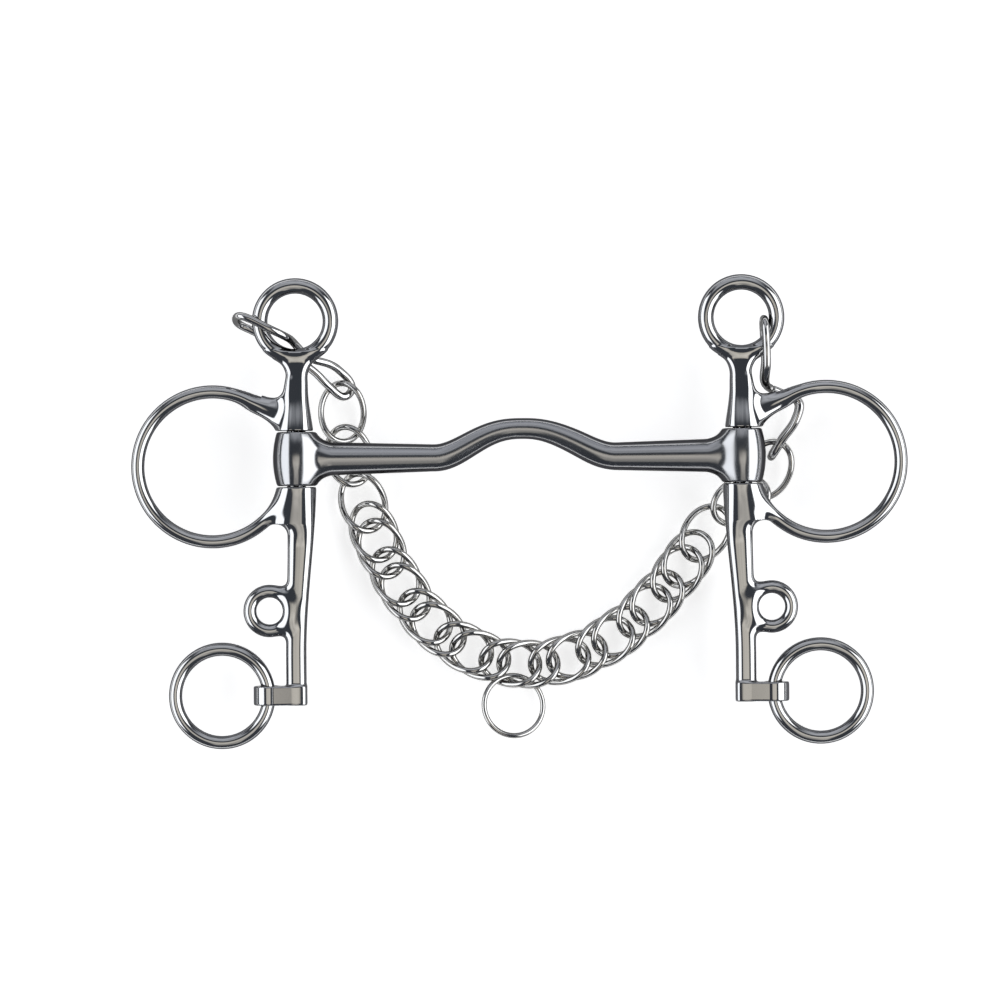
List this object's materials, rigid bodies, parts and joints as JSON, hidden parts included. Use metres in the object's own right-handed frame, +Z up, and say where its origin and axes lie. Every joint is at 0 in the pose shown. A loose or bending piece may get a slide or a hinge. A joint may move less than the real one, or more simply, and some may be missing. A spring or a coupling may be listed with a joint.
{
  "type": "curb bit",
  "caption": "Curb bit with a low-port bar, two swivelling cheeks with side rings and rein rings, wire curb hooks, a doubled curb chain and a fly ring.",
  "frame": {"origin": "on the table under the centre of the outline, the bit lying flat as pictured", "axes": "+X along the mouthpiece towards the right cheek, +Y up the cheeks towards the top eyes, +Z up from the table"},
  "size_m": [0.2446, 0.1482, 0.0228],
  "materials": {
    "mouthpiece_steel": "polished, a little duller than the cheeks",
    "cheek_steel": "mirror polished",
    "hook_steel": "polished wire",
    "chain_steel": "polished wire"
  },
  "bodies": {
    "mouthpiece": {"mouthpiece": "mouthpiece_steel"},
    "left_cheek": {"left_cheek": "cheek_steel"},
    "right_cheek": {"right_cheek": "cheek_steel"},
    "left_rein_ring": {"left_rein_ring": "cheek_steel"},
    "right_rein_ring": {"right_rein_ring": "cheek_steel"},
    "left_curb_hook": {"left_curb_hook": "hook_steel"},
    "right_curb_hook": {"right_curb_hook": "hook_steel"},
    "fly_ring": {"fly_ring": "chain_steel"},
    "chain_ring_01": {"chain_ring_01": "chain_steel"},
    "chain_ring_02": {"chain_ring_02": "chain_steel"},
    "chain_ring_03": {"chain_ring_03": "chain_steel"},
    "chain_ring_04": {"chain_ring_04": "chain_steel"},
    "chain_ring_05": {"chain_ring_05": "chain_steel"},
    "chain_ring_06": {"chain_ring_06": "chain_steel"},
    "chain_ring_07": {"chain_ring_07": "chain_steel"},
    "chain_ring_08": {"chain_ring_08": "chain_steel"},
    "chain_ring_09": {"chain_ring_09": "chain_steel"},
    "chain_ring_10": {"chain_ring_10": "chain_steel"},
    "chain_ring_11": {"chain_ring_11": "chain_steel"},
    "chain_ring_12": {"chain_ring_12": "chain_steel"},
    "chain_ring_13": {"chain_ring_13": "chain_steel"},
    "chain_ring_14": {"chain_ring_14": "chain_steel"},
    "chain_ring_15": {"chain_ring_15": "chain_steel"},
    "chain_ring_16": {"chain_ring_16": "chain_steel"},
    "chain_ring_17": {"chain_ring_17": "chain_steel"},
    "chain_ring_18": {"chain_ring_18": "chain_steel"},
    "chain_ring_19": {"chain_ring_19": "chain_steel"},
    "chain_ring_20": {"chain_ring_20": "chain_steel"},
    "chain_ring_21": {"chain_ring_21": "chain_steel"},
    "chain_ring_22": {"chain_ring_22": "chain_steel"},
    "chain_ring_23": {"chain_ring_23": "chain_steel"},
    "chain_ring_24": {"chain_ring_24": "chain_steel"}
  },
  "joints": [
    {"name": "left_cheek_swivel", "type": "hinge", "parent": "mouthpiece", "child": "left_cheek", "pos_m": [-0.07025, 0.01705, 0.01537], "axis": [0, 1, 0], "range_deg": [-1.2, 5]},
    {"name": "right_cheek_swivel", "type": "hinge", "parent": "mouthpiece", "child": "right_cheek", "pos_m": [0.07025, 0.01705, 0.01537], "axis": [0, -1, 0], "range_deg": [-1.2, 5]},
    {"name": "left_rein_ring_swing", "type": "hinge", "parent": "left_cheek", "child": "left_rein_ring", "pos_m": [-0.07955, -0.0573, 0.01537], "axis": [0, 1, 0], "range_deg": [-135, 135]},
    {"name": "right_rein_ring_swing", "type": "hinge", "parent": "right_cheek", "child": "right_rein_ring", "pos_m": [0.07955, -0.0573, 0.01537], "axis": [0, -1, 0], "range_deg": [-135, 135]},
    {"name": "left_hook_tilt", "type": "hinge", "parent": "left_cheek", "child": "left_curb_hook", "pos_m": [-0.08125, 0.05785, 0.01537], "axis": [0.2843, -0.9587, 0], "range_deg": [-0.92, 3.67]},
    {"name": "left_chain_hang", "type": "hinge", "parent": "left_curb_hook", "child": "chain_ring_01", "pos_m": [-0.0565, 0.0412, 0.01537], "axis": [-0.5582, -0.8297, 0], "range_deg": [-0.49, 1.89]},
    {"name": "right_hook_tilt", "type": "hinge", "parent": "right_cheek", "child": "right_curb_hook", "pos_m": [0.07785, 0.05195, 0.01537], "axis": [0.219, 0.9757, 0], "range_deg": [-1.32, 5.35]},
    {"name": "right_chain_hang", "type": "hinge", "parent": "right_curb_hook", "child": "chain_ring_24", "pos_m": [0.08265, 0.01995, 0.01537], "axis": [-0.9889, -0.1483, 0], "range_deg": [-0.33, 1.22]},
    {"name": "chain_link_23", "type": "hinge", "parent": "chain_ring_24", "child": "chain_ring_23", "pos_m": [0.07639, 0.00607, 0.00429], "axis": [0, 0, 1], "range_deg": [-0.78, 0.78]},
    {"name": "chain_link_22", "type": "hinge", "parent": "chain_ring_23", "child": "chain_ring_22", "pos_m": [0.06358, -0.00124, 0.00429], "axis": [0, 0, 1], "range_deg": [-1.29, 1.29]},
    {"name": "chain_link_21", "type": "hinge", "parent": "chain_ring_22", "child": "chain_ring_21", "pos_m": [0.0562, -0.01165, 0.00429], "axis": [0, 0, 1], "range_deg": [-1.18, 1.18]},
    {"name": "chain_link_20", "type": "hinge", "parent": "chain_ring_21", "child": "chain_ring_20", "pos_m": [0.05163, -0.01811, 0.00429], "axis": [0, 0, 1], "range_deg": [-0.76, 0.76]},
    {"name": "chain_link_19", "type": "hinge", "parent": "chain_ring_20", "child": "chain_ring_19", "pos_m": [0.04681, -0.02439, 0.00429], "axis": [0, 0, 1], "range_deg": [-0.1747, 0.1747]},
    {"name": "chain_link_18", "type": "hinge", "parent": "chain_ring_19", "child": "chain_ring_18", "pos_m": [0.04147, -0.03023, 0.00429], "axis": [0, 0, 1], "range_deg": [-0.71, 0.71]},
    {"name": "chain_link_17", "type": "hinge", "parent": "chain_ring_18", "child": "chain_ring_17", "pos_m": [0.03577, -0.03572, 0.00429], "axis": [0, 0, 1], "range_deg": [-1.45, 1.45]},
    {"name": "chain_link_16", "type": "hinge", "parent": "chain_ring_17", "child": "chain_ring_16", "pos_m": [0.02937, -0.04037, 0.00429], "axis": [0, 0, 1], "range_deg": [-2.17, 2.17]},
    {"name": "chain_link_15", "type": "hinge", "parent": "chain_ring_16", "child": "chain_ring_15", "pos_m": [0.02256, -0.0444, 0.00429], "axis": [0, 0, 1], "range_deg": [-2.8, 2.8]},
    {"name": "chain_link_14", "type": "hinge", "parent": "chain_ring_15", "child": "chain_ring_14", "pos_m": [0.0151, -0.04705, 0.00429], "axis": [0, 0, 1], "range_deg": [-0.63, 0.63]},
    {"name": "chain_link_13", "type": "hinge", "parent": "chain_ring_14", "child": "chain_ring_13", "pos_m": [0.00738, -0.04877, 0.00429], "axis": [0, 0, 1], "range_deg": [-0.74, 0.74]},
    {"name": "chain_link_01", "type": "hinge", "parent": "chain_ring_01", "child": "chain_ring_02", "pos_m": [-0.05595, 0.0249, 0.00429], "axis": [0, 0, 1], "range_deg": [-1.07, 1.07]},
    {"name": "chain_link_02", "type": "hinge", "parent": "chain_ring_02", "child": "chain_ring_03", "pos_m": [-0.05224, 0.01063, 0.00429], "axis": [0, 0, 1], "range_deg": [-1.19, 1.19]},
    {"name": "chain_link_03", "type": "hinge", "parent": "chain_ring_03", "child": "chain_ring_04", "pos_m": [-0.0483, -0.00151, 0.00429], "axis": [0, 0, 1], "range_deg": [-1.06, 1.06]},
    {"name": "chain_link_04", "type": "hinge", "parent": "chain_ring_04", "child": "chain_ring_05", "pos_m": [-0.04541, -0.00888, 0.00429], "axis": [0, 0, 1], "range_deg": [-0.65, 0.65]},
    {"name": "chain_link_05", "type": "hinge", "parent": "chain_ring_05", "child": "chain_ring_06", "pos_m": [-0.0422, -0.01611, 0.00429], "axis": [0, 0, 1], "range_deg": [-0.1199, 0.1199]},
    {"name": "chain_link_06", "type": "hinge", "parent": "chain_ring_06", "child": "chain_ring_07", "pos_m": [-0.03828, -0.02299, 0.00429], "axis": [0, 0, 1], "range_deg": [-0.79, 0.79]},
    {"name": "chain_link_07", "type": "hinge", "parent": "chain_ring_07", "child": "chain_ring_08", "pos_m": [-0.03388, -0.02956, 0.00429], "axis": [0, 0, 1], "range_deg": [-1.52, 1.52]},
    {"name": "chain_link_08", "type": "hinge", "parent": "chain_ring_08", "child": "chain_ring_09", "pos_m": [-0.02852, -0.03538, 0.00429], "axis": [0, 0, 1], "range_deg": [-2.21, 2.21]},
    {"name": "chain_link_09", "type": "hinge", "parent": "chain_ring_09", "child": "chain_ring_10", "pos_m": [-0.02257, -0.04061, 0.00429], "axis": [0, 0, 1], "range_deg": [-2.83, 2.83]},
    {"name": "chain_link_10", "type": "hinge", "parent": "chain_ring_10", "child": "chain_ring_11", "pos_m": [-0.01569, -0.04451, 0.00429], "axis": [0, 0, 1], "range_deg": [-0.63, 0.63]},
    {"name": "chain_link_11", "type": "hinge", "parent": "chain_ring_11", "child": "chain_ring_12", "pos_m": [-0.00836, -0.04749, 0.00429], "axis": [0, 0, 1], "range_deg": [-0.74, 0.74]},
    {"name": "fly_ring_turn", "type": "hinge", "parent": "chain_ring_12", "child": "fly_ring", "pos_m": [-0.0025, -0.06179, 0.00516], "axis": [0.23, 0.1719, 0.9579], "range_deg": [-150, 150]}
  ],
  "couplings": [
    {"joint": "left_hook_tilt", "follows": "left_cheek_swivel", "ratio": 0.72391},
    {"joint": "left_chain_hang", "follows": "left_cheek_swivel", "ratio": 0.36877},
    {"joint": "right_hook_tilt", "follows": "right_cheek_swivel", "ratio": 1.0606},
    {"joint": "right_chain_hang", "follows": "right_cheek_swivel", "ratio": 0.23487},
    {"joint": "chain_link_22", "follows": "chain_link_23", "ratio": 1.4619},
    {"joint": "chain_link_21", "follows": "chain_link_23", "ratio": 1.3263},
    {"joint": "chain_link_20", "follows": "chain_link_23", "ratio": 0.81042},
    {"joint": "chain_link_19", "follows": "chain_link_23", "ratio": 0.091636},
    {"joint": "chain_link_18", "follows": "chain_link_23", "ratio": -0.75297},
    {"joint": "chain_link_17", "follows": "chain_link_23", "ratio": -1.6614},
    {"joint": "chain_link_16", "follows": "chain_link_23", "ratio": -2.5363},
    {"joint": "chain_link_15", "follows": "chain_link_23", "ratio": -3.3166},
    {"joint": "chain_link_14", "follows": "chain_link_23", "ratio": -0.65436},
    {"joint": "chain_link_13", "follows": "chain_link_23", "ratio": -0.79072},
    {"joint": "chain_link_01", "follows": "chain_link_23", "ratio": 1.1897},
    {"joint": "chain_link_02", "follows": "chain_link_23", "ratio": 1.3349},
    {"joint": "chain_link_03", "follows": "chain_link_23", "ratio": 1.1839},
    {"joint": "chain_link_04", "follows": "chain_link_23", "ratio": 0.68014},
    {"joint": "chain_link_05", "follows": "chain_link_23", "ratio": -0.024425},
    {"joint": "chain_link_06", "follows": "chain_link_23", "ratio": -0.851},
    {"joint": "chain_link_07", "follows": "chain_link_23", "ratio": -1.7395},
    {"joint": "chain_link_08", "follows": "chain_link_23", "ratio": -2.5925},
    {"joint": "chain_link_09", "follows": "chain_link_23", "ratio": -3.3511},
    {"joint": "chain_link_10", "follows": "chain_link_23", "ratio": -0.65502},
    {"joint": "chain_link_11", "follows": "chain_link_23", "ratio": -0.79085}
  ]
}
